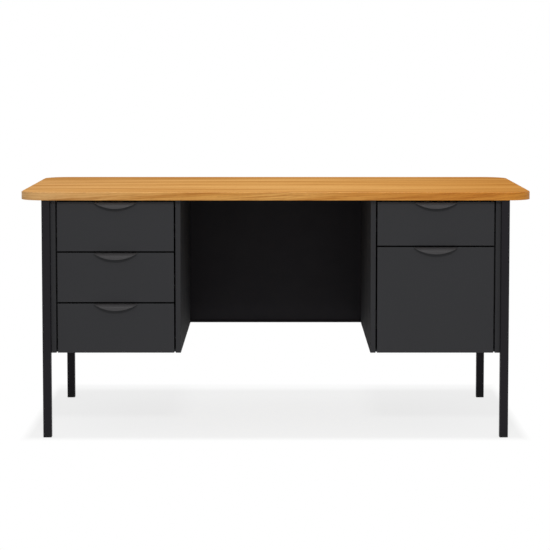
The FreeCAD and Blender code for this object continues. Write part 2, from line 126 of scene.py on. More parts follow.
# Floor: the patch under the desk that keeps its shadow, how that fades out, and how pale it is
FLOOR_SIZE = 40.0
FLOOR_COLOUR = (0.95, 0.96, 0.955, 1)
FLOOR_WHITE = 0.78
SHADOW_HALF_WIDTH = 0.735
SHADOW_FRONT = -0.380
SHADOW_REAR = 0.58
SHADOW_SIDE_FADE = 0.03
SHADOW_END_FADE = 0.06

# Light from all round, and the camera as the photograph's perspective gives it in a 550 by 550 frame
WHITE = (1, 1, 1, 1)
SURROUND = 0.42
IMAGE_SIZE = 550
FOCAL_PIXELS = 2063.1
SENSOR = 36.0
CAMERA_PLACE = (0.0, -6.4846, 1.1512)
CAMERA_PITCH = math.radians(4.649)
CAMERA_SHIFT = (-0.0011, -0.1)
CAMERA_REACH = 100.0


# Node helpers

def connect(tree, socket, value):
    """Links an input to another socket, or sets it to a constant."""
    if isinstance(value, bpy.types.NodeSocket):
        tree.links.new(value, socket)
    else:
        socket.default_value = value


def add(tree, kind, inputs=(), **settings):
    """Adds a node, sets its options, then sets or links each named or numbered input."""
    made = tree.nodes.new(kind)
    for option, value in settings.items():
        setattr(made, option, value)
    for key, value in dict(inputs).items():
        connect(tree, made.inputs[key], value)
    return made


def calculate(tree, operation, first, second=0.0):
    """One sum on two values."""
    return add(tree, "ShaderNodeMath", {0: first, 1: second}, operation=operation).outputs[0]


def remap(tree, value, old_range, new_range=(0.0, 1.0)):
    """A value brought from one range to another and held within it."""
    inputs = {"Value": value, "From Min": old_range[0], "From Max": old_range[1],
              "To Min": new_range[0], "To Max": new_range[1]}
    return add(tree, "ShaderNodeMapRange", inputs).outputs["Result"]


def mixed(tree, share, first, second, blend="MIX"):
    """Two colours mixed by a share."""
    inputs = {0: share, 6: first, 7: second}
    return add(tree, "ShaderNodeMix", inputs, data_type="RGBA", blend_type=blend).outputs[2]


def shaded(tree, colour, tone):
    """A colour times a tone that varies over the surface."""
    grey = add(tree, "ShaderNodeCombineColor", {0: tone, 1: tone, 2: tone}).outputs[0]
    return mixed(tree, 1.0, colour, grey, "MULTIPLY")


def vector_of(tree, x, y, z):
    """Three values as one vector."""
    return add(tree, "ShaderNodeCombineXYZ", {0: x, 1: y, 2: z}).outputs[0]


def part_of(tree, vector, axis):
    """One of a vector's three values."""
    return add(tree, "ShaderNodeSeparateXYZ", {0: vector}).outputs[axis]


def noise(tree, vector, per_metre, detail=2.0, roughness=0.5):
    """Smooth noise from nought to one, with a number of waves to the metre, or one along each axis."""
    scale = (per_metre,) * 3 if isinstance(per_metre, float) else per_metre
    spread = add(tree, "ShaderNodeMapping", {"Vector": vector, "Scale": scale}).outputs["Vector"]
    inputs = {"Vector": spread, "Scale": 1.0, "Detail": detail, "Roughness": roughness}
    return add(tree, "ShaderNodeTexNoise", inputs).outputs["Fac"]


def cells(tree, vector, per_metre):
    """Packed cells: a value of each one's own, and the distance from its middle."""
    made = add(tree, "ShaderNodeTexVoronoi", {"Vector": vector, "Scale": per_metre}).outputs
    return add(tree, "ShaderNodeSeparateColor", {0: made["Color"]}).outputs[0], made["Distance"]


def object_vector(tree):
    """The piece's own coordinates, in metres."""
    return add(tree, "ShaderNodeTexCoord").outputs["Object"]


def band_vector(tree):
    """Length along the edge band and height up it, leaning a little as the veneer was cut."""
    placed = add(tree, "ShaderNodeUVMap", uv_map="along_band").outputs["UV"]
    inputs = {"Vector": placed, "Rotation": (0, 0, BAND_LEAN)}
    return add(tree, "ShaderNodeMapping", inputs).outputs["Vector"]


def start_tree(kind, name, takes, gives):
    """Empty node group with named sockets; returns the tree, what it takes and what it gives."""
    tree = bpy.data.node_groups.new(name, kind)
    for in_out, sockets in (("INPUT", takes), ("OUTPUT", gives)):
        for socket, value_kind in sockets.items():
            tree.interface.new_socket(socket, in_out=in_out, socket_type="NodeSocket" + value_kind)
    return tree, tree.nodes.new("NodeGroupInput").outputs, tree.nodes.new("NodeGroupOutput").inputs


def use_group(tree, group, inputs):
    """Output sockets of a group placed in a tree."""
    return add(tree, "ShaderNodeGroup", inputs, node_tree=group).outputs


def start_material(name):
    """New node material; returns it, its tree and the inputs of its Principled shader."""
    material = bpy.data.materials.new(name)
    material.use_nodes = True
    tree = material.node_tree
    return material, tree, tree.nodes["Principled BSDF"].inputs


def roughen(tree, shader, height, strength, depth):
    """Bumps the surface by a height."""
    inputs = {"Height": height, "Strength": strength, "Distance": depth}
    connect(tree, shader["Normal"], add(tree, "ShaderNodeBump", inputs).outputs["Normal"])


def fade_gloss(material):
    """Lets a material's reflection die away as it is seen more edge-on, as on an open-pored finish."""
    tree = material.node_tree
    level = tree.nodes["Principled BSDF"].inputs["Specular IOR Level"]
    slant = add(tree, "ShaderNodeLayerWeight", {"Blend": 0.5}).outputs["Facing"]
    connect(tree, level, remap(tree, slant, GLOSS_FADE, (level.default_value, 0.0)))


# Finishes that more than one material shares

def make_oak_grain():
    """Flat-sawn oak along X: broad bands, narrower figure, fine streaks, fibres and short pores."""
    takes = {"Vector": "Vector", "Pale": "Color", "Gold": "Color", "Russet": "Color", "Bands": "Float",
             "Figure": "Float", "Length": "Float", "Streaks": "Float", "Sway": "Float"}
    gives = {"Color": "Color", "Height": "Float", "Dullness": "Float"}
    tree, takes, gives = start_tree("ShaderNodeTree", "oak_grain", takes, gives)
    wander = noise(tree, takes["Vector"], GRAIN_WANDER, detail=1.0)
    wander = calculate(tree, "SUBTRACT", wander, 0.5)
    offset = vector_of(tree, 0.0, calculate(tree, "MULTIPLY", wander, takes["Sway"]), 0.0)
    inputs = {0: takes["Vector"], 1: offset}
    swayed = add(tree, "ShaderNodeVectorMath", inputs, operation="ADD").outputs["Vector"]

    def drawn_out(per_metre, stretch, detail, roughness):
        """Noise with so many lines to the metre, each so many times longer than wide."""
        lengthways = calculate(tree, "DIVIDE", per_metre, stretch)
        scale = vector_of(tree, lengthways, per_metre, per_metre)
        return noise(tree, swayed, scale, detail, roughness)

    broad = drawn_out(takes["Bands"], stretch=8.0, detail=1.0, roughness=0.5)
    figure = drawn_out(takes["Figure"], takes["Length"], detail=5.0, roughness=0.74)
    streak = drawn_out(per_metre=210.0, stretch=60.0, detail=3.0, roughness=0.62)
    fibre = drawn_out(per_metre=900.0, stretch=65.0, detail=2.0, roughness=0.6)
    pore = drawn_out(per_metre=1500.0, stretch=27.0, detail=1.0, roughness=0.5)
    pore = remap(tree, pore, (0.62, 0.72))
    tone = mixed(tree, remap(tree, broad, (0.38, 0.62)), takes["Pale"], takes["Gold"])
    dark_figure = remap(tree, figure, (0.47, 0.64), (0.0, 0.90))
    tone = mixed(tree, dark_figure, tone, takes["Russet"])
    pale_figure = remap(tree, figure, (0.45, 0.30), (0.0, 0.65))
    tone = mixed(tree, pale_figure, tone, takes["Pale"])
    dark_streak = remap(tree, streak, (0.50, 0.78), (0.0, takes["Streaks"]))
    tone = mixed(tree, dark_streak, tone, takes["Russet"])
    fibre_tone = remap(tree, fibre, (0.25, 0.75), (0.92, 1.06))
    pore_tone = remap(tree, pore, (0.0, 1.0), (1.0, 0.7))
    shade = calculate(tree, "MULTIPLY", fibre_tone, pore_tone)
    connect(tree, gives["Color"], shaded(tree, tone, shade))
    ridges = calculate(tree, "MULTIPLY", fibre, 0.4)
    connect(tree, gives["Height"], calculate(tree, "SUBTRACT", ridges, pore))
    connect(tree, gives["Dullness"], remap(tree, calculate(tree, "ADD", streak, pore), (0.2, 1.4)))
    return tree


def make_powder_texture():
    """Sprayed and baked paint: fine peel, grit, a soft drift of tone, and duller patches."""
    takes = {"Vector": "Vector", "Peel": "Float", "Drift": "Float"}
    gives = {"Tone": "Float", "Height": "Float", "Dullness": "Float"}
    tree, takes, gives = start_tree("ShaderNodeTree", "powder_texture", takes, gives)
    vector = takes["Vector"]
    per_metre = calculate(tree, "DIVIDE", 1.0, takes["Peel"])
    scale = vector_of(tree, per_metre, per_metre, per_metre)
    peel = noise(tree, vector, scale, detail=3.0, roughness=0.6)
    grit = noise(tree, vector, per_metre=2800.0, detail=1.0)
    drift = noise(tree, vector, per_metre=5.5, detail=3.0, roughness=0.55)
    drift = calculate(tree, "MULTIPLY", calculate(tree, "SUBTRACT", drift, 0.5), takes["Drift"])
    fleck = remap(tree, grit, (0.2, 0.8), (0.95, 1.05))
    connect(tree, gives["Tone"], calculate(tree, "ADD", drift, fleck))
    connect(tree, gives["Height"], calculate(tree, "ADD", peel, calculate(tree, "MULTIPLY", grit, 0.35)))
    patch = noise(tree, vector, per_metre=11.0, detail=4.0, roughness=0.6)
    connect(tree, gives["Dullness"], remap(tree, patch, (0.3, 0.7)))
    return tree


def make_edge_rub():
    """Mask of folded and cut edges, broken up as hands and cloths rub them."""
    takes = {"Vector": "Vector", "Width": "Float", "Amount": "Float"}
    tree, takes, gives = start_tree("ShaderNodeTree", "edge_rub", takes, {"Mask": "Float"})
    rounded = add(tree, "ShaderNodeBevel", {"Radius": takes["Width"]}, samples=6).outputs["Normal"]
    flat = add(tree, "ShaderNodeNewGeometry").outputs["Normal"]
    inputs = {0: rounded, 1: flat}
    facing = add(tree, "ShaderNodeVectorMath", inputs, operation="DOT_PRODUCT").outputs["Value"]
    patch = noise(tree, takes["Vector"], per_metre=60.0, detail=4.0, roughness=0.65)
    patch = remap(tree, patch, (0.30, 0.65), (0.25, 1.0))
    edge = calculate(tree, "MULTIPLY", remap(tree, facing, (0.995, 0.80)), patch)
    connect(tree, gives["Mask"], calculate(tree, "MULTIPLY", edge, takes["Amount"]))
    return tree


def make_rolled_steel():
    """Plated strip: roll lines along Y, faint crystal patches and small stains."""
    takes = {"Vector": "Vector", "Lines": "Float"}
    gives = {"Tone": "Float", "Height": "Float", "Dullness": "Float"}
    tree, takes, gives = start_tree("ShaderNodeTree", "rolled_steel", takes, gives)
    vector = takes["Vector"]
    line = noise(tree, vector, per_metre=(900.0, 6.0, 900.0), detail=3.0, roughness=0.6)
    crystal, _ = cells(tree, vector, per_metre=160.0)
    stain = noise(tree, vector, per_metre=24.0, detail=4.0, roughness=0.6)
    line_tone = remap(tree, line, (0.2, 0.8), (0.86, 1.04))
    crystal_tone = remap(tree, crystal, (0.0, 1.0), (-0.06, 0.06))
    stain_tone = remap(tree, stain, (0.3, 0.7), (0.9, 1.04))
    tone = calculate(tree, "ADD", line_tone, crystal_tone)
    connect(tree, gives["Tone"], calculate(tree, "MULTIPLY", tone, stain_tone))
    connect(tree, gives["Height"], calculate(tree, "MULTIPLY", line, takes["Lines"]))
    connect(tree, gives["Dullness"], remap(tree, calculate(tree, "ADD", stain, crystal), (0.3, 1.4)))
    return tree


oak_grain = make_oak_grain()
powder_texture = make_powder_texture()
edge_rub = make_edge_rub()
rolled_steel = make_rolled_steel()


# Materials

def oak(name, place, left_tint, right_tint, shine, **grain_values):
    """Oak-grain facing under a satin lacquer, with a tint of its own towards each end of the desk."""
    material, tree, shader = start_material(name)
    # The grain's own values, from pale to sway, have the names of the group's inputs.
    inputs = {key.capitalize(): value for key, value in grain_values.items()}
    grain = use_group(tree, oak_grain, {"Vector": place(tree), **inputs})
    across = part_of(tree, object_vector(tree), "X")
    tint = mixed(tree, remap(tree, across, LEFT_TINT_RUN), WHITE, left_tint)
    tint = mixed(tree, remap(tree, across, RIGHT_TINT_RUN), tint, right_tint)
    connect(tree, shader["Base Color"], mixed(tree, 1.0, grain["Color"], tint, "MULTIPLY"))
    connect(tree, shader["Roughness"], remap(tree, grain["Dullness"], (0.0, 1.0), (0.46, 0.60)))
    shader["Specular IOR Level"].default_value = shine
    roughen(tree, shader, grain["Height"], strength=0.25, depth=0.0002)
    return material


def powder_coat(name, colour, rubbed, roughness, shine):
    """Baked powder coat over sheet steel, rubbed a little paler along its folds."""
    material, tree, shader = start_material(name)
    vector = object_vector(tree)
    inputs = {"Vector": vector, "Peel": PEEL_WIDTH, "Drift": PAINT_DRIFT}
    paint = use_group(tree, powder_texture, inputs)
    inputs = {"Vector": vector, "Width": RUB_WIDTH, "Amount": RUB_AMOUNT}
    mask = use_group(tree, edge_rub, inputs)["Mask"]
    coat = shaded(tree, colour, paint["Tone"])
    connect(tree, shader["Base Color"], mixed(tree, mask, coat, rubbed))
    dull = remap(tree, paint["Dullness"], (0.0, 1.0), (roughness - 0.05, roughness + 0.05))
    worn = calculate(tree, "MULTIPLY", mask, 0.12)
    connect(tree, shader["Roughness"], calculate(tree, "SUBTRACT", dull, worn))
    shader["Specular IOR Level"].default_value = shine
    roughen(tree, shader, paint["Height"], strength=0.22, depth=0.00012)
    return material


def plated_steel(name, colour, roughness, lines):
    """Zinc-plated or bare rolled steel. Its ends facing along Y are painted near-black and dull, partly as
    bare cut steel and partly as painted shade where slide ends show through the drawer gaps.
    """
    material, tree, shader = start_material(name)
    steel = use_group(tree, rolled_steel, {"Vector": object_vector(tree), "Lines": lines})
    facing = part_of(tree, add(tree, "ShaderNodeTexCoord").outputs["Normal"], "Y")
    # Ends facing along Y are painted near-black: partly bare cut steel, partly painted shade where slide
    # ends show through the drawer gaps.
    cut_end_and_shade = remap(tree, calculate(tree, "ABSOLUTE", facing), (0.85, 0.97))
    bright = shaded(tree, colour, steel["Tone"])
    cut_end_and_shade_grey = (0.035, 0.034, 0.033, 1)
    connect(tree, shader["Base Color"], mixed(tree, cut_end_and_shade, bright, cut_end_and_shade_grey))
    dull = remap(tree, steel["Dullness"], (0.0, 1.0), (roughness - 0.07, roughness + 0.10))
    torn = calculate(tree, "MULTIPLY", cut_end_and_shade, 0.7)
    connect(tree, shader["Roughness"], calculate(tree, "MAXIMUM", dull, torn))
    shader["Metallic"].default_value = 1.0
    roughen(tree, shader, steel["Height"], strength=0.2, depth=0.00008)
    return material


def ball_steel(name, colour):
    """Hardened and polished steel with faint lapping marks."""
    material, tree, shader = start_material(name)
    lapping = noise(tree, object_vector(tree), per_metre=2400.0, detail=3.0, roughness=0.6)
    tone = remap(tree, lapping, (0.25, 0.75), (0.94, 1.04))
    connect(tree, shader["Base Color"], shaded(tree, colour, tone))
    connect(tree, shader["Roughness"], remap(tree, lapping, (0.25, 0.75), (0.10, 0.20)))
    shader["Metallic"].default_value = 1.0
    roughen(tree, shader, lapping, strength=0.05, depth=0.00003)
    return material


def chip_board(name, dark, pale):
    """Raw particle board: packed flakes of several tones."""
    material, tree, shader = start_material(name)
    vector = object_vector(tree)
    flake, from_middle = cells(tree, vector, per_metre=420.0)
    fines = remap(tree, noise(tree, vector, per_metre=1400.0), (0.3, 0.7), (0.8, 1.1))
    connect(tree, shader["Base Color"], shaded(tree, mixed(tree, flake, dark, pale), fines))
    connect(tree, shader["Roughness"], remap(tree, flake, (0.0, 1.0), (0.78, 0.92)))
    roughen(tree, shader, from_middle, strength=0.4, depth=0.0003)
    return material


def backer_paper(name, colour, shine):
    """Resin-soaked tan backing sheet with a faint felt mark."""
    material, tree, shader = start_material(name)
    vector = object_vector(tree)
    felt = noise(tree, vector, per_metre=(350.0, 900.0, 350.0), detail=3.0, roughness=0.6)
    blotch = noise(tree, vector, per_metre=7.0, detail=3.0, roughness=0.6)
    felt_tone = remap(tree, felt, (0.3, 0.7), (0.92, 1.05))
    blotch_tone = remap(tree, blotch, (0.3, 0.7), (0.9, 1.07))
    tone = calculate(tree, "MULTIPLY", felt_tone, blotch_tone)
    connect(tree, shader["Base Color"], shaded(tree, colour, tone))
    connect(tree, shader["Roughness"], remap(tree, blotch, (0.3, 0.7), (0.55, 0.68)))
    shader["Specular IOR Level"].default_value = shine
    roughen(tree, shader, felt, strength=0.15, depth=0.0001)
    return material


def moulded_plastic(name, colour, scuffed, shine):
    """Black moulded plastic with a spark-eroded grain, scuffed near the floor."""
    material, tree, shader = start_material(name)
    vector = object_vector(tree)
    spark = noise(tree, vector, per_metre=2600.0, detail=2.0, roughness=0.6)
    near_floor = remap(tree, part_of(tree, vector, "Z"), (0.010, 0.0))
    scratch = noise(tree, vector, per_metre=240.0, detail=4.0, roughness=0.7)
    scuff = calculate(tree, "MULTIPLY", remap(tree, scratch, (0.5, 0.75)), near_floor)
    grain = shaded(tree, colour, remap(tree, spark, (0.2, 0.8), (0.9, 1.1)))
    connect(tree, shader["Base Color"], mixed(tree, scuff, grain, scuffed))
    dull = remap(tree, calculate(tree, "ADD", spark, scuff), (0.2, 1.4), (0.45, 0.7))
    connect(tree, shader["Roughness"], dull)
    shader["Specular IOR Level"].default_value = shine
    roughen(tree, shader, spark, strength=0.2, depth=0.0001)
    return material


# One material for each slot of the record
materials = {
    # Worktop
    "laminate": oak(
        "oak_laminate", object_vector,
        pale=(0.680, 0.372, 0.124, 1), gold=(0.575, 0.283, 0.076, 1), russet=(0.400, 0.158, 0.032, 1),
        bands=4.0, figure=22.0, length=30.0, streaks=0.60, sway=0.16,
        left_tint=(0.97, 0.985, 1.08, 1), right_tint=(0.89, 0.785, 0.61, 1), shine=0.30),
    "edge_band": oak(
        "oak_edge_band", band_vector,
        pale=(0.680, 0.357, 0.0995, 1), gold=(0.572, 0.265, 0.058, 1), russet=(0.388, 0.143, 0.0214, 1),
        bands=22.0, figure=105.0, length=30.0, streaks=0.80, sway=0.03,
        left_tint=(0.955, 1.06, 1.51, 1), right_tint=(0.875, 0.672, 0.355, 1), shine=0.10),
    "particle_board": chip_board("particle_board", dark=(0.30, 0.19, 0.10, 1), pale=(0.60, 0.44, 0.27, 1)),
    "backer": backer_paper("backer_paper", colour=(0.58, 0.40, 0.23, 1), shine=0.3),
    # Legs with their feet, end rails and back panel
    "leg_paint": powder_coat(
        "black_leg_paint", colour=(0.0125, 0.0111, 0.0138, 1), rubbed=(0.023, 0.023, 0.025, 1),
        roughness=0.46, shine=0.10),
    "foot_plastic": moulded_plastic(
        "foot_plastic", colour=(0.0105, 0.0100, 0.0110, 1), scuffed=(0.04, 0.04, 0.04, 1), shine=0.12),
    # Pedestals
    "panel_paint": powder_coat(
        "charcoal_panel_paint", colour=(0.0340, 0.0338, 0.0360, 1), rubbed=(0.049, 0.049, 0.052, 1),
        roughness=0.70, shine=0.02),
    # Drawers
    "front_paint": powder_coat(
        "charcoal_front_paint", colour=(0.0284, 0.0284, 0.0308, 1), rubbed=(0.042, 0.042, 0.045, 1),
        roughness=0.52, shine=0.12),
    "pull_paint": powder_coat(
        "charcoal_pull_paint", colour=(0.0455, 0.0437, 0.0458, 1), rubbed=(0.062, 0.060, 0.062, 1),
        roughness=0.40, shine=0.12),
    "tray_paint": powder_coat(
        "charcoal_tray_paint", colour=(0.0300, 0.0300, 0.0320, 1), rubbed=(0.048, 0.048, 0.051, 1),
        roughness=0.52, shine=0.15),
    # Slides, their ball cages, and screws and rivets
    "slide_steel": plated_steel(
        "zinc_slide_steel", colour=(0.60, 0.60, 0.62, 1), roughness=0.34, lines=0.8),
    "cage_steel": plated_steel(
        "bare_cage_steel", colour=(0.52, 0.50, 0.46, 1), roughness=0.40, lines=0.6),
    "screw_steel": plated_steel(
        "zinc_screw_steel", colour=(0.58, 0.57, 0.54, 1), roughness=0.32, lines=0.3),
}
polished_balls = ball_steel("polished_ball_steel", colour=(0.64, 0.64, 0.65, 1))
fade_gloss(materials["laminate"])

slot_of = {part["node"]: part["material_slot"] for part in frame["record"]["subparts"]}
for node_name, node_object in frame["nodes"].items():
    node_object.data.materials.clear()
    node_object.data.materials.append(materials[slot_of[node_name]])


# Modelled pieces

def new_piece(name, mesh, body):
    """Adds a finished mesh to the desk, riding on a body."""
    piece = bpy.data.objects.new(name, mesh)
    scene.collection.objects.link(piece)
    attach(piece, body)
    return piece


def smooth_by_angle(mesh, crisp_angle):
    """Smooth faces, crisp where two faces meet at more than an angle."""
    mesh.polygons.foreach_set("use_smooth", [True] * len(mesh.polygons))
    mesh.set_sharp_from_angle(angle=crisp_angle)


def mesh_from(work, name, material):
    """Plain mesh of a finished bmesh, with its faces turned outwards."""
    bmesh.ops.recalc_face_normals(work, faces=work.faces)
    mesh = bpy.data.meshes.new(name)
    work.to_mesh(mesh)
    work.free()
    smooth_by_angle(mesh, CRISP_ANGLE)
    mesh.materials.append(material)
    return mesh


def start_working(name, mesh):
    """Object that holds a mesh while its modifiers run."""
    working = bpy.data.objects.new(name, mesh)
    scene.collection.objects.link(working)
    return working


def finished(name, working):
    """Mesh of a working object with its modifiers run; the working object goes."""
    view = bpy.context.evaluated_depsgraph_get()
    mesh = bpy.data.meshes.new_from_object(working.evaluated_get(view))
    mesh.name = name
    bpy.data.objects.remove(working)
    return mesh


def rounded_outline(half_x, half_y, radius, steps):
    """Points and outward directions round a centred rectangle with round corners, anticlockwise."""
    points = []
    for quarter, (sign_x, sign_y) in enumerate(((1, 1), (-1, 1), (-1, -1), (1, -1))):
        centre = Vector((sign_x * (half_x - radius), sign_y * (half_y - radius)))
        for step in range(steps + 1):
            angle = math.pi / 2 * (quarter + step / steps)
            outward = Vector((math.cos(angle), math.sin(angle)))
            points.append((centre + outward * radius, outward))
    return points


def quarter_round(inset, level, start, steps):
    """Points (inset, height) of a quarter circle as deep as its radius, from a start angle in degrees."""
    angles = [math.radians(start + 90 * step / steps) for step in range(steps + 1)]
    return [(inset - inset * math.cos(angle), level + inset * math.sin(angle)) for angle in angles]


def sweep(work, path, section, closed):
    """Rings of a section set along an outline, joined by faces; returns the rings."""
    rings = []
    for place, outward in path:
        rings.append([work.verts.new((*(place - outward * inset), level)) for inset, level in section])
    rows = len(section) if closed else len(section) - 1
    for index, here in enumerate(rings):
        there = rings[(index + 1) % len(rings)]
        for row in range(rows):
            above = (row + 1) % len(section)
            work.faces.new((here[row], there[row], there[above], here[above]))
    return rings


def lengths_along(points):
    """Distance from the first point to each point, and once more round to the first."""
    lengths = [0.0]
    for first, second in zip(points, points[1:] + points[:1]):
        lengths.append(lengths[-1] + (Vector(second) - Vector(first)).length)
    return lengths


def make_edge_band():
    """Oak band round the worktop, with a rounded upper arris and its grain running along it."""
    low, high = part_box("top_edge_band")
    path = rounded_outline(high.x, high.y, TOP_CORNER, TOP_CORNER_STEPS)
    section = quarter_round(BAND_FOOT_ROUND, low.z + BAND_FOOT_ROUND, start=-90, steps=BAND_FOOT_STEPS)
    section += quarter_round(BAND_TOP_ROUND, high.z - BAND_TOP_ROUND, start=0, steps=BAND_TOP_STEPS)
    section += [(BAND, high.z), (BAND, low.z)]
    work = bmesh.new()
    sweep(work, path, section, closed=True)
    along_band = work.loops.layers.uv.new("along_band")
    lengths = lengths_along([place for place, _ in path])
    heights = lengths_along(section)
    for number, face in enumerate(work.faces):
        column, row = divmod(number, len(section))
        corners = ((column, row), (column + 1, row), (column + 1, row + 1), (column, row + 1))
        for loop, (step, level) in zip(face.loops, corners):
            loop[along_band].uv = (lengths[step], heights[level])
    mesh = mesh_from(work, "worktop_edge_band", materials["edge_band"])
    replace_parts(new_piece("worktop_edge_band", mesh, "desk"), "top_edge_band")


def make_foot_caps():
    """Plastic caps under the four legs, softened at the floor and at the seam with the tube."""
    work = bmesh.new()
    for leg in LEGS:
        low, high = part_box(leg)
        centre = (low + high) / 2
        half_x, half_y = (high.x - low.x) / 2, (high.y - low.y) / 2
        outline = rounded_outline(half_x, half_y, FOOT_CORNER, FOOT_CORNER_STEPS)
        path = [(place + centre.xy, outward) for place, outward in outline]
        section = quarter_round(FOOT_EDGE, FOOT_EDGE, start=-90, steps=FOOT_EDGE_STEPS)
        section += quarter_round(FOOT_SEAM, low.z - FOOT_SEAM, start=0, steps=FOOT_SEAM_STEPS)
        rings = sweep(work, path, section, closed=False)
        work.faces.new([ring[0] for ring in rings])
        work.faces.new([ring[-1] for ring in rings])
    mesh = mesh_from(work, "leg_foot_caps", materials["foot_plastic"])
    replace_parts(new_piece("leg_foot_caps", mesh, "desk"), "leg_feet")


def pull_profile(drop):
    """Outer face of a pull as (forward, down) points from the pocket to the rim, with its bends rounded."""
    half = drop / 2
    bend_turn = math.pi / 2 - PULL_UPPER_SLOPE
    belly_turn = PULL_UPPER_SLOPE - PULL_LOWER_SLOPE
    corner = Vector((PULL_BEND * math.tan(bend_turn / 2), 0.0))
    belly = corner + Vector((half * math.tan(PULL_UPPER_SLOPE), half))
    rim = belly + Vector((half * math.tan(PULL_LOWER_SLOPE), half))
    pocket = Vector((-PULL_FLANGE, 0.0))
    points = [pocket]
    bends = ((pocket, corner, belly, PULL_BEND, bend_turn, PULL_BEND_STEPS),
             (corner, belly, rim, PULL_BELLY, belly_turn, PULL_BELLY_STEPS))
    for before, here, after, radius, turn, steps in bends:
        inward = (here - before).normalized()
        outward = (after - here).normalized()
        side = (outward - inward * inward.dot(outward)).normalized()
        start = here - inward * radius * math.tan(turn / 2)
        for step in range(steps + 1):
            angle = turn * step / steps
            points.append(start + inward * radius * math.sin(angle) + side * radius * (1 - math.cos(angle)))
    return points + [rim]


def step_holding(value, marks):
    """Step of a rising list that holds a value, and how far along that step the value is."""
    index = max(number for number in range(len(marks) - 1) if marks[number] <= value)
    share = (value - marks[index]) / (marks[index + 1] - marks[index])
    return index, min(share, 1.0)


def pull_sheet(low, high, face):
    """Outer face of a pull in front of a drawer's face: a bent strip, its lip trimmed to an arc."""
    centre = (low.x + high.x) / 2
    half_width = (high.x - low.x) / 2
    drop = high.z - low.z
    profile = pull_profile(drop)
    depths = [point.y for point in profile]
    lengths = lengths_along(profile)[:-1]
    sag = drop - PULL_SHEET
    trim = (half_width ** 2 + sag ** 2) / (2 * sag)
    work = bmesh.new()
    columns = []
    for column in range(PULL_COLUMNS + 1):
        x = half_width * math.sin(math.pi / 2 * (2 * column / PULL_COLUMNS - 1))
        depth = drop - trim + math.sqrt(trim ** 2 - x ** 2)
        index, share = step_holding(depth, depths)
        end = lengths[index] + share * (lengths[index + 1] - lengths[index])
        line = []
        for row in range(PULL_ROWS + 1):
            index, share = step_holding(end * row / PULL_ROWS, lengths)
            forward, down = profile[index].lerp(profile[index + 1], share)
            line.append(work.verts.new((centre + x, face - forward, high.z - down)))
        columns.append(line)
    for left, right in zip(columns, columns[1:]):
        for row in range(PULL_ROWS):
            work.faces.new((left[row], left[row + 1], right[row + 1], right[row]))
    mesh = bpy.data.meshes.new("pull_sheet")
    work.to_mesh(mesh)
    work.free()
    return mesh


def make_pull(name):
    """Crescent pull of one drawer, given its thickness and softened edges."""
    low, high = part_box(name + "_drawer_pull")
    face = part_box(name + "_drawer_front")[0].y
    sheet = pull_sheet(low, high, face)
    sheet.materials.append(materials["pull_paint"])
    working = start_working(name + "_pull_sheet", sheet)
    thicken = working.modifiers.new("thicken", "SOLIDIFY")
    thicken.thickness = PULL_SHEET
    thicken.offset = -1.0
    soften = working.modifiers.new("soften", "BEVEL")
    soften.width = PULL_EDGE_ROUND
    soften.segments = PULL_EDGE_STEPS
    soften.limit_method = "ANGLE"
    soften.angle_limit = PULL_CRISP_ANGLE
    mesh = finished(name + "_crescent_pull", working)
    smooth_by_angle(mesh, PULL_CRISP_ANGLE)
    made = new_piece(name + "_crescent_pull", mesh, name + "_drawer")
    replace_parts(made, name + "_drawer_pull")


def make_stud_nodes():
    """Geometry nodes that set one dome or ball at each point, turned to the point's facing."""
    takes = {"Geometry": "Geometry", "Radius": "Float", "Height": "Float", "Material": "Material"}
    tree, takes, gives = start_tree("GeometryNodeTree", "studs", takes, {"Geometry": "Geometry"})
    inputs = {"Segments": STUD_SEGMENTS, "Rings": STUD_RINGS, "Radius": takes["Radius"]}
    ball = add(tree, "GeometryNodeMeshUVSphere", inputs).outputs["Mesh"]
    smooth = add(tree, "GeometryNodeSetShadeSmooth", {"Geometry": ball}).outputs["Geometry"]
    facing = add(tree, "GeometryNodeInputNamedAttribute", {"Name": "facing"}, data_type="FLOAT_VECTOR")
    inputs = {"Vector": facing.outputs["Attribute"]}
    turned = add(tree, "FunctionNodeAlignRotationToVector", inputs, axis="Z").outputs["Rotation"]
    flatness = calculate(tree, "DIVIDE", takes["Height"], takes["Radius"])
    scale = vector_of(tree, 1.0, 1.0, flatness)
    inputs = {"Points": takes["Geometry"], "Instance": smooth, "Rotation": turned, "Scale": scale}
    placed = add(tree, "GeometryNodeInstanceOnPoints", inputs).outputs["Instances"]
    real = add(tree, "GeometryNodeRealizeInstances", {"Geometry": placed}).outputs["Geometry"]
    inputs = {"Geometry": real, "Material": takes["Material"]}
    connect(tree, gives["Geometry"], add(tree, "GeometryNodeSetMaterial", inputs).outputs["Geometry"])
    sockets = [item for item in tree.interface.items_tree if item.in_out == "INPUT"]
    return tree, {socket.name: socket.identifier for socket in sockets}


stud_nodes, stud_sockets = make_stud_nodes()


def make_studs(name, places, radius, height, material, body):
    """One mesh of balls or rivet heads from (point, facing) pairs, riding on a body."""
    points = bpy.data.meshes.new(name + "_points")
    points.from_pydata([place for place, _ in places], [], [])
    facing = points.attributes.new("facing", "FLOAT_VECTOR", "POINT")
    facing.data.foreach_set("vector", [value for _, direction in places for value in direction])
    working = start_working(name + "_points", points)
    studs = working.modifiers.new("studs", "NODES")
    studs.node_group = stud_nodes
    for socket, value in (("Radius", radius), ("Height", height), ("Material", material)):
        studs[stud_sockets[socket]] = value
    new_piece(name, finished(name, working), body)


def make_ball_rows(name, cage_node, body):
    """Balls in the windows of a drawer's cages: an upper and a lower row on each side."""
    low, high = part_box(cage_node)
    pitch = (high.y - low.y - 2 * BALL_END) / (BALLS_PER_ROW - 1)
    places = []
    for x in (low.x + BALL_INSET, high.x - BALL_INSET):
        for z in (low.z + BALL_FLANGE, high.z - BALL_FLANGE):
            for number in range(BALLS_PER_ROW):
                places.append((Vector((x, low.y + BALL_END + number * pitch, z)), Vector((0, 0, 1))))
    make_studs(name, places, BALL_RADIUS, BALL_RADIUS, polished_balls, body)


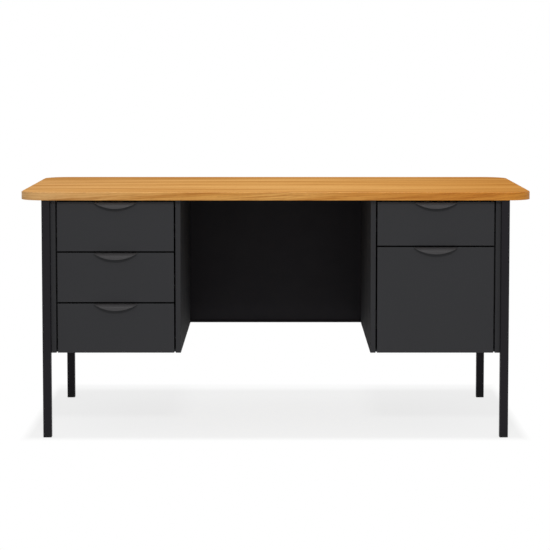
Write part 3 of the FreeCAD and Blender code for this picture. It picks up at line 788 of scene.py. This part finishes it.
def make_rivets(name):
    """Rivet heads of one drawer: inside its body's walls, and on the ledges of its hanging rails."""
    tray_low, tray_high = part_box(name + "_drawer_body")
    rail_low, rail_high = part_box(name + "_drawer_rails")
    level = (rail_low.z + rail_high.z) / 2
    start = rail_low.y + RIVET_END
    pitch = (rail_high.y - rail_low.y - 2 * RIVET_END) / (RIVETS_PER_RAIL - 1)
    places = []
    for wall, inward in ((tray_low.x, 1), (tray_high.x, -1)):
        for number in range(RIVETS_PER_RAIL):
            y = start + number * pitch
            places.append((Vector((wall + inward * TRAY_SHEET, y, level)), Vector((inward, 0, 0))))
            if name == FILE_DRAWER:
                ledge = Vector((wall + inward * HANGER_LEDGE, y, tray_high.z + HANGER_SHEET))
                places.append((ledge, Vector((0, 0, 1))))
    steel = materials["screw_steel"]
    make_studs(name + "_rivets", places, RIVET_RADIUS, RIVET_HEIGHT, steel, name + "_drawer")


make_edge_band()
make_foot_caps()
for drawer in DRAWERS:
    make_pull(drawer)
    make_rivets(drawer)
for drawer in BOX_DRAWERS:
    make_ball_rows(drawer + "_slide_balls", drawer + "_ball_cages", drawer + "_cages")
for place in ("_outer", "_inner"):
    slide = FILE_DRAWER + place
    make_ball_rows(slide + "_balls", slide + "_cages", slide + "_cage")


# Floor, light and camera

def seen_directly(tree):
    """One where a ray comes from the eye, a reflection or through glass, nought where it only lights."""
    path = add(tree, "ShaderNodeLightPath").outputs
    reflected = calculate(tree, "MAXIMUM", path["Is Glossy Ray"], path["Is Transmission Ray"])
    return calculate(tree, "MAXIMUM", path["Is Camera Ray"], reflected)


def make_floor():
    """Pale floor that keeps the desk's shadow under it and turns plain white around it."""
    bpy.ops.mesh.primitive_plane_add(size=FLOOR_SIZE, location=(0, 0, 0))
    floor = bpy.context.object
    floor.name = "floor"
    material, tree, _ = start_material("pale_floor")
    tree.nodes.remove(tree.nodes["Principled BSDF"])
    place = object_vector(tree)
    sideways = calculate(tree, "ABSOLUTE", part_of(tree, place, "X"))
    along = part_of(tree, place, "Y")
    beside = remap(tree, sideways, (SHADOW_HALF_WIDTH, SHADOW_HALF_WIDTH + SHADOW_SIDE_FADE))
    before = remap(tree, along, (SHADOW_FRONT, SHADOW_FRONT - SHADOW_END_FADE))
    behind = remap(tree, along, (SHADOW_REAR, SHADOW_REAR + SHADOW_END_FADE))
    outside = calculate(tree, "MAXIMUM", calculate(tree, "MAXIMUM", beside, before), behind)
    whiteness = remap(tree, outside, (0.0, 1.0), (FLOOR_WHITE, 1.0))
    share = calculate(tree, "MULTIPLY", seen_directly(tree), whiteness)
    lit = add(tree, "ShaderNodeBsdfDiffuse", {"Color": FLOOR_COLOUR}).outputs[0]
    white = add(tree, "ShaderNodeEmission", {"Color": WHITE, "Strength": 1.0}).outputs[0]
    surface = add(tree, "ShaderNodeMixShader", {0: share, 1: lit, 2: white}).outputs[0]
    connect(tree, tree.nodes["Material Output"].inputs["Surface"], surface)
    floor.data.materials.append(material)


def make_world():
    """Even white surround: plain white to the eye and in reflections, softer as light."""
    world = bpy.data.worlds.new("studio")
    scene.world = world
    world.use_nodes = True
    tree = world.node_tree
    background = tree.nodes["Background"].inputs
    background["Color"].default_value = WHITE
    connect(tree, background["Strength"], remap(tree, seen_directly(tree), (0.0, 1.0), (SURROUND, 1.0)))


def make_softbox(name, place, aim, width, height, power):
    """Soft rectangular lamp that faces a point."""
    data = bpy.data.lights.new(name, "AREA")
    data.shape = "RECTANGLE"
    data.size = width
    data.size_y = height
    data.energy = power
    lamp = bpy.data.objects.new(name, data)
    lamp.location = place
    lamp.rotation_euler = (Vector(aim) - Vector(place)).to_track_quat("-Z", "Y").to_euler()
    scene.collection.objects.link(lamp)


def make_camera():
    """Camera at the photograph's viewing angle, in front of the desk and a little above its top."""
    data = bpy.data.cameras.new("camera")
    data.sensor_width = SENSOR
    data.lens = FOCAL_PIXELS / IMAGE_SIZE * SENSOR
    data.shift_x, data.shift_y = CAMERA_SHIFT
    data.clip_end = CAMERA_REACH
    camera = bpy.data.objects.new("camera", data)
    camera.location = CAMERA_PLACE
    camera.rotation_euler = (math.pi / 2 - CAMERA_PITCH, 0, 0)
    scene.collection.objects.link(camera)
    scene.camera = camera


make_world()
make_floor()
make_softbox(
    "overhead_softbox", place=(0.0, -0.3, 4.5), aim=(0.0, 0.0, 0.4), width=0.5, height=0.4, power=84.0)
make_softbox(
    "front_softbox", place=(0.0, -4.6, 3.3), aim=(0.0, -0.3, 0.6), width=1.0, height=0.6, power=98.0)
make_camera()
scene.view_settings.view_transform = "Standard"
